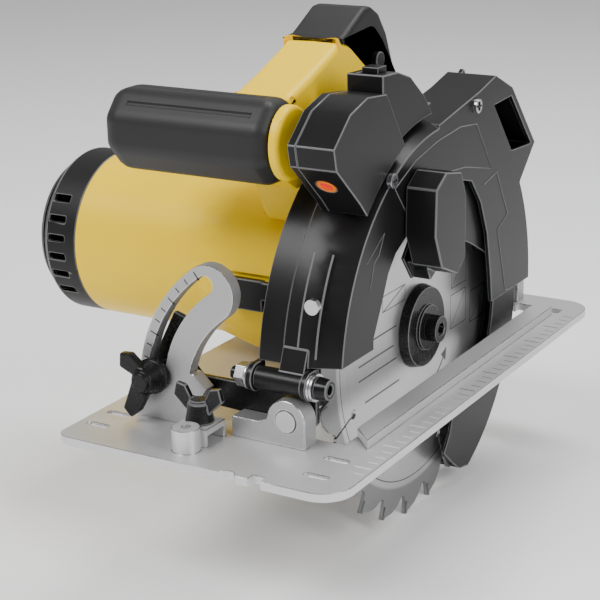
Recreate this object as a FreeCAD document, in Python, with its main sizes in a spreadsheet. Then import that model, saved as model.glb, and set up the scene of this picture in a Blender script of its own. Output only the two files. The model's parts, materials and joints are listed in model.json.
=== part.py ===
import FreeCAD, Part
import math
import os
import Sketcher

# Hand-held circular saw, in millimetres.
# The frame: +Z is up, the front of the saw faces -Y, the blade is on the +X side and the
# motor on the -X side. The origin is the middle of the underside of the base plate.
# The saw is at full cutting depth and square to the plate, with its lower guard part open.

V = FreeCAD.Vector
doc = FreeCAD.newDocument("circular_saw")

DIMENSIONS = [
    # base plate
    ("plate_length", 281), ("plate_width", 143), ("plate_thick", 4), ("plate_corner", 14),
    ("plate_corner_left", 7),
    ("opening_left", -8), ("opening_right", 47.5), ("opening_front", -91), ("opening_rear", 120),
    ("rail_width", 10.5), ("rail_height", 4.3),
    # blade and its spindle
    ("blade_x", 32.3), ("arbor_y", 7), ("arbor_z", 26.4), ("blade_diameter", 190),
    ("blade_body", 1.6), ("blade_kerf", 2.4), ("blade_bore", 20), ("blade_teeth", 24),
    ("flange_radius", 20.5), ("flange_thick", 6.6), ("spindle_radius", 8.5),
    # gears
    ("gear_module", 1.25), ("pinion_teeth", 9), ("wheel_teeth", 36), ("gear_angle", 103),
    ("gear_width", 9),
    # bevel and depth pivots
    ("tilt_x", 26.5), ("tilt_z", 15.7), ("tilt_pin", 5), ("lug_radius", 9.5),
    ("lug_front", -105), ("lug_thick", 10), ("bracket_thick", 3),
    ("depth_y", -98), ("depth_z", 31), ("barrel_radius", 5.3), ("depth_bolt", 3),
    ("bevel_slot", 68), ("bevel_bolt", 3.5), ("bevel_zero", 171.5), ("bevel_travel", 45),
    ("depth_slot", 204), ("depth_zero", -4.5), ("depth_travel", 32), ("depth_lock", 3),
    # guards
    ("guard_inner_face", 20.3), ("guard_outer_face", 46.5), ("guard_radius", 104),
    ("guard_rim_radius", 98), ("guard_wall", 2.2), ("guard_floor", 38),
    ("lower_guard_radius", 97.5), ("lower_guard_left", 23), ("lower_guard_right", 43),
    ("hub_radius", 24),
    # motor
    ("motor_radius", 42), ("motor_wall", 2.5), ("motor_end", -134), ("cap_end", -161),
    ("flare_radius", 47), ("gear_case_left", -16),
    # handles
    ("handle_left", -22.5), ("handle_right", 6.5), ("handle_seam", -8),
    ("grip_left", -79), ("grip_right", 12), ("grip_y", -71.5), ("grip_z", 129),
    ("grip_high", 37), ("grip_deep", 33),
    # fits
    ("running_fit", 0.05), ("gap", 0.3),
]
sheet = doc.addObject("Spreadsheet::Sheet", "dims")
for row, (alias, number) in enumerate(DIMENSIONS, start=1):
    sheet.set("A%d" % row, alias)
    sheet.set("B%d" % row, str(number))
    sheet.setAlias("B%d" % row, alias)
doc.recompute()

# Places that follow from the driving dimensions, as expressions on the sheet.
TOP = "dims.plate_thick"
AY = "dims.arbor_y"
AZ = "dims.arbor_z"
BX = "dims.blade_x"
TX = "dims.tilt_x"
TZ = "dims.tilt_z"
DY = "dims.depth_y"
DZ = "dims.depth_z"
GEAR_GAP = "(dims.gear_module * (dims.pinion_teeth + dims.wheel_teeth) / 2)"
MY = "(dims.arbor_y + %s * cos(dims.gear_angle))" % GEAR_GAP
MZ = "(dims.arbor_z + %s * sin(dims.gear_angle))" % GEAR_GAP
FACE = "dims.guard_outer_face"
WALL = "dims.guard_inner_face"
LUG_BACK = "(dims.lug_front + dims.lug_thick)"
BRACKET_FRONT = "(dims.lug_front + dims.lug_thick + dims.gap)"
BRACKET_BACK = "(%s + dims.bracket_thick)" % BRACKET_FRONT
BOLT_X = "(dims.tilt_x + dims.bevel_slot * cos(dims.bevel_zero))"
BOLT_Z = "(dims.tilt_z + dims.bevel_slot * sin(dims.bevel_zero))"
LOCK_Y = "(dims.depth_y + dims.depth_slot * cos(dims.depth_zero))"
LOCK_Z = "(dims.depth_z + dims.depth_slot * sin(dims.depth_zero))"

nodes = []


def add(base, offset):
    """An expression a fixed distance away from another one."""
    return "%s + (%s)" % (base, offset)


def value(expression):
    """The present number behind an expression on the sheet."""
    return float(sheet.evalExpression(str(expression)))


def bind(thing, path, expression):
    thing.setExpression(path, str(expression))


def block(name, x, y, z):
    """A box between two expressions on each axis."""
    thing = doc.addObject("Part::Box", name)
    for size, span in (("Length", x), ("Width", y), ("Height", z)):
        bind(thing, size, "(%s) - (%s)" % (span[1], span[0]))
    for letter, span in zip("xyz", (x, y, z)):
        bind(thing, "Placement.Base." + letter, span[0])
    return thing


def along(thing, axis, at, start):
    """Lay a round primitive along an axis, at the other two coordinates."""
    turns = {"x": (V(0, 1, 0), 90), "y": (V(1, 0, 0), -90), "z": (V(0, 0, 1), 0)}
    thing.Placement = FreeCAD.Placement(V(), FreeCAD.Rotation(*turns[axis]))
    places = dict(zip([letter for letter in "xyz" if letter != axis], at))
    places[axis] = start
    for letter, expression in places.items():
        bind(thing, "Placement.Base." + letter, expression)
    return thing


def rod(name, axis, at, span, radius):
    thing = doc.addObject("Part::Cylinder", name)
    bind(thing, "Radius", radius)
    bind(thing, "Height", "(%s) - (%s)" % (span[1], span[0]))
    return along(thing, axis, at, span[0])


def taper(name, axis, at, span, first, last):
    thing = doc.addObject("Part::Cone", name)
    bind(thing, "Radius1", first)
    bind(thing, "Radius2", last)
    bind(thing, "Height", "(%s) - (%s)" % (span[1], span[0]))
    return along(thing, axis, at, span[0])


def fuse(name, *things):
    joined = doc.addObject("Part::MultiFuse", name)
    joined.Shapes = list(things)
    return joined


def cut(name, base, *tools):
    cutter = tools[0]
    if len(tools) > 1:
        cutter = fuse(name + "_cutter", *tools)
    result = doc.addObject("Part::Cut", name)
    result.Base = base
    result.Tool = cutter
    return result


def common(name, first, second):
    result = doc.addObject("Part::Common", name)
    result.Base = first
    result.Tool = second
    return result


def group(name, *things):
    """Separate solids that share one node."""
    result = doc.addObject("Part::Compound", name)
    result.Links = list(things)
    return result


def tube(name, axis, at, span, outer, inner):
    return cut(name, rod(name + "_outside", axis, at, span, outer),
               rod(name + "_bore", axis, at, (add(span[0], -1), add(span[1], 1)), inner))


def outline(name, plane, span, points):
    """A PartDesign pad of a closed outline whose corners are expressions on the sheet."""
    body = doc.addObject("PartDesign::Body", name)
    roles = {"xy": "XY_Plane", "xz": "XZ_Plane", "yz": "YZ_Plane"}
    origin_plane = [f for f in body.Origin.OriginFeatures if f.Role == roles[plane]][0]
    sketch = body.newObject("Sketcher::SketchObject", name + "_sketch")
    sketch.AttachmentSupport = (origin_plane, [""])
    sketch.MapMode = "FlatFace"
    # the XZ plane's normal is -Y, so that pad starts at its higher Y and goes down
    start = "-(%s)" % span[1] if plane == "xz" else span[0]
    bind(sketch, "AttachmentOffset.Base.z", start)
    corners = [(value(u), value(v)) for u, v in points]
    last = len(corners)
    for i, corner in enumerate(corners):
        following = corners[(i + 1) % last]
        line = Part.LineSegment(V(corner[0], corner[1], 0), V(following[0], following[1], 0))
        sketch.addGeometry(line, False)
    for i in range(last):
        sketch.addConstraint(Sketcher.Constraint("Coincident", i, 2, (i + 1) % last, 1))
    for i, corner in enumerate(corners):
        for k, kind in enumerate(("DistanceX", "DistanceY")):
            label = "%s%d" % ("uv"[k], i)
            number = corner[k] if abs(corner[k]) > 1e-7 else 0.001
            index = sketch.addConstraint(Sketcher.Constraint(kind, -1, 1, i, 1, number))
            sketch.renameConstraint(index, label)
            bind(sketch, "Constraints." + label, points[i][k])
    pad = body.newObject("PartDesign::Pad", name + "_pad")
    pad.Profile = sketch
    bind(pad, "Length", "(%s) - (%s)" % (span[1], span[0]))
    return body


def polar(centre, radius, angle):
    """A corner at a radius and an angle in degrees from a centre."""
    return ("%s + (%s) * cos(%s)" % (centre[0], radius, angle),
            "%s + (%s) * sin(%s)" % (centre[1], radius, angle))


def sector(name, plane, centre, span, outer, inner, first, last):
    """A ring-shaped plate between two angles, less than a half turn."""
    axis = {"yz": "x", "xz": "y"}[plane]
    ring = tube(name + "_ring", axis, centre, span, outer, inner)
    far = "2.5 * (%s)" % outer
    middle = "((%s) + (%s)) / 2" % (first, last)
    corners = [(centre[0], centre[1])]
    corners += [polar(centre, far, angle) for angle in (first, middle, last)]
    wedge = outline(name + "_wedge", plane, (add(span[0], -1), add(span[1], 1)), corners)
    return common(name, ring, wedge)


def arc_slot(name, plane, centre, span, radius, half_width, first, last):
    """A round-ended slot along an arc."""
    axis = {"yz": "x", "xz": "y"}[plane]
    middle = sector(name + "_middle", plane, centre, span, "%s + %s" % (radius, half_width),
                    "%s - %s" % (radius, half_width), first, last)
    ends = [rod(name + "_end%d" % i, axis, polar(centre, radius, angle), span, half_width)
            for i, angle in enumerate((first, last))]
    return fuse(name, middle, *ends)


def keep(thing):
    """Register a finished sub-part; its own name is its node's name."""
    thing.Label = thing.Name
    nodes.append(thing)
    return thing


def shaped(name, shape):
    """A sub-part whose shape comes from Part's own functions."""
    thing = doc.addObject("Part::Feature", name)
    thing.Shape = shape
    return thing


# ---------------------------------------------------------------- base plate

def base_plate():
    half_l = "dims.plate_length / 2"
    half_w = "dims.plate_width / 2"
    notch = "(dims.tilt_x + sqrt(2) * (dims.blade_x - dims.tilt_x) - dims.tilt_z)"
    front = "-" + half_l
    c = "dims.plate_corner"
    d = "dims.plate_corner_left"
    slab = outline("plate_slab", "xy", ("0", TOP), [
        ("-%s + %s" % (half_w, d), front),
        (add(notch, -4), front), (add(notch, -2), add(front, 3)),
        (add(notch, 2), add(front, 3)), (add(notch, 4), front),
        (add(BX, -3), front), (add(BX, -3), add(front, 4.5)),
        (add(BX, 3), add(front, 4.5)), (add(BX, 3), front),
        ("%s - %s" % (half_w, c), front), (half_w, "-%s + %s" % (half_l, c)),
        (half_w, "%s - %s" % (half_l, c)), ("%s - %s" % (half_w, c), half_l),
        ("-%s + %s" % (half_w, d), half_l), ("-" + half_w, "%s - %s" % (half_l, d)),
        ("-" + half_w, "-%s + %s" % (half_l, d))])
    corners = []
    for i, (sx, sy, r) in enumerate(((-1, -1, d), (1, -1, c), (1, 1, c), (-1, 1, d))):
        at = ("%d * (%s - %s)" % (sx, half_w, r), "%d * (%s - %s)" % (sy, half_l, r))
        corners.append(rod("plate_corner%d" % i, "z", at, ("0", TOP), r))
    rail_left = add("dims.opening_right", 0.5)
    rail_right = add(rail_left, "dims.rail_width")
    rail = outline("rail", "xy", (TOP, add(TOP, "dims.rail_height")), [
        (rail_left, "dims.opening_front + dims.rail_width"), (rail_right, "dims.opening_front"),
        (rail_right, add("dims.opening_rear", -6)), (rail_left, add("dims.opening_rear", -6))])
    boss = rod("fence_boss", "z", ("-10", "-127"), (TOP, add(TOP, 10.5)), "6.3")
    bridge = block("fence_bridge", ("-19.5", "-3.5"), ("-122", "-106"), (TOP, add(TOP, 8)))
    solid = fuse("plate_solid", slab, rail, boss, bridge, *corners)
    opening = block("plate_opening", ("dims.opening_left", "dims.opening_right"),
                    ("dims.opening_front", "dims.opening_rear"), ("-1", add(TOP, 1)))
    rear_slot = block("rear_slot", ("dims.opening_right - 12", "dims.opening_right + 13"),
                      ("dims.opening_rear - 3", "dims.opening_rear + 3.5"), ("-1", add(TOP, 1)))
    tunnel = block("fence_tunnel", ("-25", "2"), ("-120", "-108"), (TOP, add(TOP, 4.8)))
    thread = rod("fence_thread", "z", ("-11.5", "-114"), (TOP, add(TOP, 9)), "3.2")
    hole = rod("boss_hole", "z", ("-10", "-127"), (TOP, add(TOP, 12)), "1.8")
    pockets = []
    for i, (x, y) in enumerate(((-61, -107.5), (-61, -122.5), (52.5, -106.5), (53, -125))):
        pockets.append(block("plate_pocket%d" % i, (x - 4, x + 4), (y - 1.8, y + 1.8),
                             (add(TOP, -1.2), add(TOP, 1))))
        for j in (-4, 4):
            pockets.append(rod("plate_pocket%d_%d" % (i, j + 4), "z", (x + j, y),
                               (add(TOP, -1.2), add(TOP, 1)), "1.8"))
    keep(cut("base_plate", solid, opening, rear_slot, tunnel, thread, hole, *pockets))


def lugs():
    """The cast lugs that carry the bevel pins, front and rear."""
    foot = add(TX, -27.5)
    r = "dims.lug_radius"
    span = ("dims.lug_front", LUG_BACK)
    side = outline("front_lug_side", "xz", span, [
        (foot, TOP), ("%s + %s" % (TX, r), TOP), ("%s + %s" % (TX, r), TZ),
        ("%s - %s" % (TX, r), TZ), (add(TX, -14), add(TZ, -2.2)), (foot, add(TZ, -2.2))])
    top = rod("front_lug_top", "y", (TX, TZ), span, r)
    hole = rod("front_lug_hole", "y", (TX, TZ), (add(span[0], -1), add(span[1], 1)),
               "dims.tilt_pin")
    keep(cut("front_lug", fuse("front_lug_solid", side, top), hole))
    rear = ("dims.opening_rear + 4.6", "dims.opening_rear + 13")
    side = block("rear_lug_side", (add(TX, -8), add(TX, 8)), rear, (TOP, TZ))
    foot = block("rear_lug_foot", (add(TX, -18), add(TX, 8)), rear, (TOP, add(TOP, 3)))
    top = rod("rear_lug_top", "y", (TX, TZ), rear, "8")
    hole = rod("rear_lug_hole", "y", (TX, TZ), (add(rear[0], -1), add(rear[1], 1)),
               "dims.tilt_pin")
    keep(cut("rear_lug", fuse("rear_lug_solid", side, foot, top), hole))
    front_pin = rod("front_tilt_pin", "y", (TX, TZ), (add("dims.lug_front", -0.4), add(BRACKET_BACK, 0.6)),
                    "dims.tilt_pin")
    rear_pin = rod("rear_tilt_pin", "y", (TX, TZ), ("dims.opening_rear + 0.4", "dims.opening_rear + 13.4"),
                   "dims.tilt_pin")
    keep(group("tilt_pins", front_pin, rear_pin))


def quadrant():
    """The cast bevel quadrant with its slot about the tilt axis."""
    centre = (TX, TZ)
    span = (add("dims.lug_front", 0.5), add("dims.lug_front", 7))
    end = "(dims.bevel_zero - dims.bevel_travel)"
    band = sector("quadrant_band", "xz", centre, span, "dims.bevel_slot + 9",
                  "dims.bevel_slot - 17", end, "dims.bevel_zero + 9")
    lobe = rod("quadrant_lobe", "y", polar(centre, "dims.bevel_slot - 4", end), span, "13")
    foot = outline("quadrant_foot", "xz", span, [
        (add(TX, -79), TOP), (add(TX, -54.5), TOP), (add(TX, -40.5), add(TZ, 7)),
        (add(TX, -47), add(TZ, 13)), (add(TX, -60), add(TZ, 14)), (add(TX, -77), add(TZ, 2))])
    slot = arc_slot("quadrant_slot", "xz", centre, (add(span[0], -1), add(span[1], 1)),
                    "dims.bevel_slot", "4.1", end + " - 1", "dims.bevel_zero + 1")
    solid = fuse("quadrant_solid", band, lobe, foot)
    keep(cut("bevel_quadrant", solid, slot))


def fence_wing_screw():
    at = ("-11.5", "-114")
    shaft = rod("fence_shaft", "z", at, (add(TOP, 5.1), add(TOP, 8.6)), "2.9")
    hub = taper("fence_hub", "z", at, (add(TOP, 8.4), add(TOP, 17)), "6.5", "4.8")
    crown = rod("fence_crown", "z", at, (add(TOP, 16.5), add(TOP, 18.5)), "4.2")
    wings = outline("fence_wings", "xz", ("-115.4", "-112.6"), [
        ("-15.5", add(TOP, 11)), ("-7.5", add(TOP, 11)), ("1", add(TOP, 19)),
        ("-0.5", add(TOP, 25)), ("-5", add(TOP, 24)), ("-8.5", add(TOP, 17.5)),
        ("-14.5", add(TOP, 17.5)), ("-18", add(TOP, 24)), ("-22.5", add(TOP, 25)),
        ("-24", add(TOP, 19))])
    keep(fuse("fence_wing_screw", shaft, hub, crown, wings))


# ---------------------------------------------------------------- tilting frame

def front_tilt_bracket():
    span = (BRACKET_FRONT, BRACKET_BACK)
    plate = outline("bracket_plate", "xz", span, [
        (add(TX, 9.5), add(TZ, 9.3)), (add(TX, 9.5), add(TZ, -3.5)), (add(TX, 4), add(TZ, -9)),
        (add(TX, -5), add(TZ, -9)), (add(TX, -14), add(TZ, -5)), (add(TX, -57), add(TZ, -3)),
        (add(BOLT_X, -5), add(BOLT_Z, -8)), (add(BOLT_X, -9), add(BOLT_Z, 2)),
        (add(BOLT_X, 4), add(BOLT_Z, 27)), (add(BOLT_X, 13), add(BOLT_Z, 24)),
        (add(BOLT_X, 10), add(BOLT_Z, 7)), (add(TX, -50), add(TZ, 9.3))])
    parts = [plate]
    for i, x in enumerate((6, 33)):
        parts.append(rod("ear%d_eye" % i, "x", (DY, DZ), (x, x + 3), "6.5"))
        parts.append(block("ear%d_web" % i, (x, x + 3), (DY, BRACKET_BACK),
                           (add(DZ, -6.5), add(DZ, 6.5))))
        parts.append(block("ear%d_root" % i, (x, x + 3), span, (add(TZ, -2), DZ)))
    solid = fuse("bracket_solid", *parts)
    pin = rod("bracket_pin_hole", "y", (TX, TZ), (add(span[0], -1), add(span[1], 1)),
              "dims.tilt_pin + dims.running_fit")
    bolt = rod("bracket_bolt_hole", "y", (BOLT_X, BOLT_Z), (add(span[0], -1), add(span[1], 1)),
               "dims.bevel_bolt + dims.running_fit")
    pivot = rod("bracket_pivot_hole", "x", (DY, DZ), ("0", "40"), "dims.depth_bolt")
    keep(cut("front_tilt_bracket", solid, pin, bolt, pivot))


def depth_pivot_bolt():
    shank = rod("pivot_shank", "x", (DY, DZ), ("-4", "39"), "dims.depth_bolt")
    head = taper("pivot_head", "x", (DY, DZ), ("38.8", "45"), "5.2", "4.4")
    socket = rod("pivot_socket", "x", (DY, DZ), ("42", "46"), "2.2")
    keep(cut("depth_pivot_bolt", fuse("pivot_solid", shank, head), socket))
    outer = [tube("pivot_washer%d" % i, "x", (DY, DZ), (x, x + 1.2), "6.2", "dims.depth_bolt")
             for i, x in enumerate((36.1, 37.45))]
    inner = tube("pivot_washer2", "x", (DY, DZ), ("4.6", "5.8"), "6.2", "dims.depth_bolt")
    keep(group("depth_pivot_washers", inner, *outer))
    corners = [polar((DY, DZ), "5.6", "%d" % (60 * i)) for i in range(6)]
    body = outline("pivot_nut_hexagon", "yz", ("-0.6", "4.5"), corners)
    keep(cut("depth_pivot_nut", body, rod("pivot_nut_thread", "x", (DY, DZ), ("-2", "6"),
                                          "dims.depth_bolt")))


def depth_arc():
    """The slotted arc about the depth pivot that the head is clamped to."""
    centre = (DY, DZ)
    x = ("dims.guard_inner_face - 3", "dims.guard_inner_face - 0.5")
    low = "(dims.depth_zero - 3.5)"
    high = "(dims.depth_zero + dims.depth_travel + 2.5)"
    band = sector("arc_band", "yz", centre, x, "dims.depth_slot + 7", "dims.depth_slot - 7",
                  low, high)
    flange_y = ("dims.opening_rear + 1.3", "dims.opening_rear + 4.3")
    foot = outline("arc_foot", "yz", x, [
        (add(LOCK_Y, -6), add(TOP, 4)), (flange_y[1], add(TOP, 4)), (flange_y[1], add(TZ, 9.3)),
        (add(LOCK_Y, 6.5), add(LOCK_Z, 15)), (add(LOCK_Y, -6), add(LOCK_Z, 2))])
    flange = block("arc_flange", (x[0], TX), flange_y, (add(TOP, 4), add(TZ, 9.3)))
    eye = rod("arc_eye", "y", (TX, TZ), flange_y, "8")
    slot = arc_slot("arc_slot", "yz", centre, (add(x[0], -1), add(x[1], 1)), "dims.depth_slot",
                    "3.5", "dims.depth_zero - 0.6", "dims.depth_zero + dims.depth_travel + 0.6")
    pin = rod("arc_pin_hole", "y", (TX, TZ), (add(flange_y[0], -1), add(flange_y[1], 1)),
              "dims.tilt_pin + dims.running_fit")
    solid = fuse("arc_solid", band, foot, flange, eye)
    keep(cut("depth_arc", solid, slot, pin))


def bevel_wing_bolt():
    at = (BOLT_X, BOLT_Z)
    front = "dims.lug_front"
    shank = rod("bevel_shank", "y", at, (add(front, -10), add(BRACKET_BACK, 2)),
                "dims.bevel_bolt")
    back = rod("bevel_back", "y", at, (add(BRACKET_BACK, 0.3), add(BRACKET_BACK, 2.4)), "6.5")
    seat = rod("bevel_seat", "y", at, (add(front, -3), add(front, 0.2)), "8")
    hub = taper("bevel_hub", "y", at, (add(front, -11), add(front, -2.5)), "5", "7.5")
    crown = rod("bevel_crown", "y", at, (add(front, -13), add(front, -10)), "4.4")
    span = (add(front, -9.5), add(front, -5.5))
    x, z = BOLT_X, BOLT_Z
    upper = outline("bevel_wing_upper", "xz", span, [
        (add(x, 1), add(z, 5)), (add(x, -5), add(z, 1)), (add(x, -13), add(z, 4.5)),
        (add(x, -12.5), add(z, 11)), (add(x, -7), add(z, 11.5))])
    lower = outline("bevel_wing_lower", "xz", span, [
        (add(x, -5), add(z, 1)), (add(x, 2), add(z, -6)), (add(x, -3), add(z, -15)),
        (add(x, -8), add(z, -19)), (add(x, -12), add(z, -15))])
    keep(fuse("bevel_wing_bolt", shank, back, seat, hub, crown, upper, lower))


# ---------------------------------------------------------------- upper guard

def guard_outside():
    """The rim of the guard: a drum with a long chamfer, and the volute that feeds the port."""
    at = (AY, AZ)
    drum = rod("guard_drum", "x", at, (WALL, "32"), "dims.guard_radius")
    slope = taper("guard_slope", "x", at, ("32", FACE), "dims.guard_radius",
                  "dims.guard_rim_radius")
    column = rod("guard_column_drum", "x", at, (WALL, FACE), "dims.guard_radius - 1")
    quarter = outline("guard_column_wedge", "yz", (WALL, FACE), [
        (AY, AZ), (add(AY, 130), add(AZ, -30)), (add(AY, 130), add(AZ, 100))])
    volute = outline("guard_volute", "yz", (WALL, FACE), [
        ("0", "116"), ("2", "126"), ("46", "134"), ("64", "138.5"), ("84", "129.5"),
        ("114", "96"), ("95", "78"), ("60", "88")])
    rear = common("guard_column", column, quarter)
    return fuse("guard_outside", drum, slope, rear, volute)


def guard_inside():
    at = (AY, AZ)
    left = "%s + %s" % (WALL, "dims.guard_wall")
    right = "%s - %s" % (FACE, "dims.guard_wall")
    drum = rod("guard_void_drum", "x", at, (left, "32"), "dims.guard_radius - 3")
    slope = taper("guard_void_slope", "x", at, ("32", right), "dims.guard_radius - 3",
                  "dims.guard_rim_radius - 2.5")
    volute = outline("guard_void_volute", "yz", (left, right), [
        ("5", "118"), ("46", "130.8"), ("63", "135.5"), ("82.3", "127"), ("110.5", "96.2"),
        ("91", "79.5"), ("60", "84")])
    return fuse("guard_inside", drum, slope, volute)


def upper_guard():
    out = guard_outside()
    inside = guard_inside()
    floor = "dims.guard_floor"
    below = block("below_guard", ("0", "60"), ("-130", "130"), ("-120", "24"))
    front_below = block("below_front_wall", ("0", "60"), ("-130", AY), ("-120", floor))
    window = outline("guard_window", "yz", (add(FACE, -6), add(FACE, 1)), [
        ("-28", "83"), ("-41", "76.5"), ("-48", "69"), ("-55.5", "54.5"), ("-62", "43"),
        ("-62", "20"), ("64", "20"), ("61", "40"), ("56.5", "61.5"), ("48.5", "79"),
        ("37.5", "92"), ("20", "96.5"), ("-10", "92.5")])
    port = outline("chip_port", "yz", (add(FACE, -6), add(FACE, 1)), [
        ("62.4", "124.2"), ("83", "125.3"), ("109", "96.3"), ("84.5", "97.5")])
    shell = cut("guard_shell", out, inside, below, front_below, window, port)
    wall = rod("guard_wall_disc", "x", (AY, AZ), (WALL, "%s + dims.guard_wall" % WALL),
               "dims.guard_radius - 3.5")
    keep_zone = fuse("wall_zone",
                     block("wall_zone_top", ("0", "60"), ("-130", "130"), (floor, "140")),
                     block("wall_zone_low", ("0", "60"), ("-80", "98"), ("9", "60")))
    disc = common("guard_wall_plate", wall, keep_zone)
    band = tube("guard_band_ring", "x", (AY, AZ), ("8", WALL), "dims.guard_radius - 0.5",
                "dims.guard_radius - 9")
    band_zone = outline("guard_band_zone", "yz", ("5", "30"), [
        ("-130", floor), ("-60", floor), ("-8", "90"), ("-8", "150"), ("-130", "150")])
    band = common("guard_band", band, band_zone)
    lock = rod("guard_lock_lug", "x", (LOCK_Y, LOCK_Z), (WALL, "%s + dims.guard_wall" % WALL), "9")
    bridge = block("guard_lock_web", (WALL, "%s + dims.guard_wall" % WALL),
                   (add(LOCK_Y, -20), add(LOCK_Y, 9)), (LOCK_Z, "40"))
    barrel = rod("guard_barrel", "x", (DY, DZ), ("9.3", "32.7"), "dims.barrel_radius")
    web = outline("guard_barrel_web", "yz", (WALL, "32.7"), [
        (add(DY, -3.5), DZ), (add(DY, 3.5), DZ), (add(DY, 6), add(floor, 8)),
        (add(DY, 2.5), add(floor, 8))])
    solid = fuse("guard_solid", shell, disc, band, lock, bridge, barrel, web)
    nose = rod("guard_nose_hole", "x", (AY, AZ), ("15", "25"), "dims.hub_radius - 3")
    pivot = rod("guard_pivot_bore", "x", (DY, DZ), ("0", "40"),
                "dims.depth_bolt + dims.running_fit")
    lock_hole = rod("guard_lock_hole", "x", (LOCK_Y, LOCK_Z), ("15", "25"), "dims.depth_lock")
    keep(cut("upper_guard", solid, nose, pivot, lock_hole))


def guard_screws():
    """Pan-head screws on the rim and the front wall."""
    screws = []
    places = (("x", ("-47", "111"), (add(FACE, 0.2), add(FACE, 2.6))),
              ("x", ("40", "128"), (FACE, add(FACE, 2.2))))
    for i, (axis, at, span) in enumerate(places):
        screws.append(rod("guard_screw%d" % i, axis, at, span, "3.4"))
    screws.append(rod("guard_screw2", "y", ("37", "67"), ("-99.4", "-96.6"), "3.4"))
    keep(group("guard_screws", *screws))


def laser_unit():
    """The two-part nose on top of the guard, with the line laser in its outer half."""
    side = [("-73", "106"), ("-93", "124.5"), ("-95", "134"), ("-81", "146"), ("-66", "150.5"),
            ("-49", "149"), ("-31", "122"), ("-20", "116"), ("-60", "92")]
    body = outline("laser_body", "yz", ("24", FACE), side)
    near = cut("laser_clear", body, rod("laser_seat", "x", (AY, AZ), ("20", "50"),
                                        "dims.guard_radius + 0.1"))
    bevel = outline("laser_bevel", "yz", ("10", "60"), [
        ("-120", "143.5"), ("-40", "160"), ("-120", "170")])
    seam = "28"
    beam_at = V(35.5, -82.6, 115)
    beam = V(0, -0.67, -0.742)
    beam.normalize()
    start = beam_at - beam * 26
    module = Part.makeCylinder(4.5, 24, start, beam)
    bore = shaped("laser_bore", Part.makeCylinder(4.5, 40, start, beam))
    trimmed = cut("laser_trimmed", near, bevel)
    left = block("laser_left_zone", ("20", seam), ("-120", "0"), ("80", "170"))
    right = block("laser_right_zone", (seam, "60"), ("-120", "0"), ("80", "170"))
    keep(common("laser_housing_inner", trimmed, left))
    keep(cut("laser_housing_outer", common("laser_right_half", trimmed, right), bore))
    keep(shaped("laser_module", module))
    lens_at = start + beam * 24.2
    ring = Part.makeCylinder(4.4, 2, lens_at, beam).cut(
        Part.makeCylinder(3, 4, lens_at - beam, beam))
    keep(shaped("laser_lens_ring", ring))
    keep(shaped("laser_lens", Part.makeCylinder(2.9, 1.4, lens_at, beam)))


def laser_switch():
    case = outline("switch_case_body", "yz", ("24", "42"), [
        ("-44", "146"), ("-44", "155.6"), ("-30", "155"), ("-18", "151"), ("-4", "140"),
        ("6", "128"), ("-6", "120"), ("-24", "120")])
    seat = rod("switch_case_seat", "x", (AY, AZ), ("20", "50"), "dims.guard_radius + 0.1")
    nose = outline("switch_case_nose", "yz", ("20", "50"), [
        ("-95", "134"), ("-66", "150.6"), ("-48.8", "149.2"), ("-30.8", "122.1"),
        ("-19.5", "115"), ("-60", "92")])
    slot = block("switch_case_slot", ("27.5", "36.5"), ("-41.5", "-25.5"), ("151.5", "160"))
    keep(cut("laser_switch_case", case, seat, nose, slot))
    keep(block("laser_switch_slide", ("28", "36"), ("-37.5", "-29.5"), ("152", "157.5")))


# ---------------------------------------------------------------- spindle and blade

def pinion_turn():
    """The pinion's turn that puts one of its gaps around the wheel's tooth."""
    angle = value("dims.gear_angle")
    pitch = 360 / value("dims.pinion_teeth")
    phase = angle * value("dims.wheel_teeth") / 360 % 1
    return math.radians(angle + 180 + phase * pitch + pitch / 2)


def gear_shape(teeth, module, width, bore, at, turn=0.0):
    """A spur gear along +X with straight-sided teeth."""
    pitch = module * teeth / 2
    points = []
    for i in range(teeth):
        base = 2 * math.pi * i / teeth + turn
        step = 2 * math.pi / teeth
        for share, radius in ((-0.32, pitch - 1.2 * module), (-0.13, pitch + 0.85 * module),
                              (0.13, pitch + 0.85 * module), (0.32, pitch - 1.2 * module)):
            angle = base + share * step
            points.append(V(0, radius * math.cos(angle), radius * math.sin(angle)))
    points.append(points[0])
    gear = Part.Face(Part.makePolygon(points)).extrude(V(width, 0, 0))
    gear.translate(at)
    return gear.cut(Part.makeCylinder(bore, width + 2, at - V(1, 0, 0), V(1, 0, 0)))


def spindle():
    at = (AY, AZ)
    r = "dims.spindle_radius"
    front = add(BX, "-dims.blade_body / 2")
    nose = rod("spindle_nose", "x", at, ("8", front), r)
    pilot = rod("spindle_pilot", "x", at, (add(front, -0.5), add(front, "dims.blade_body + 2")),
                "dims.blade_bore / 2")
    seat = rod("spindle_seat", "x", at, ("-3", "8.5"), "7.5")
    tail = rod("spindle_tail", "x", at, ("-12.5", "-2.5"), "4")
    thread = rod("spindle_thread", "x", at, ("10", "60"), "4")
    solid = fuse("spindle_solid", nose, pilot, seat, tail)
    keep(cut("spindle", solid, thread))
    keep(shaped("spindle_gear", gear_shape(
        int(value("dims.wheel_teeth")), value("dims.gear_module"), value("dims.gear_width"), 7.5,
        V(-2, value(AY), value(AZ)))))
    keep(group("spindle_bearings",
               tube("spindle_bearing_front", "x", at, ("10.2", "19.8"), "17.5", r),
               tube("spindle_bearing_rear", "x", at, ("-12.2", "-5.2"), "11", "4")))


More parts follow.
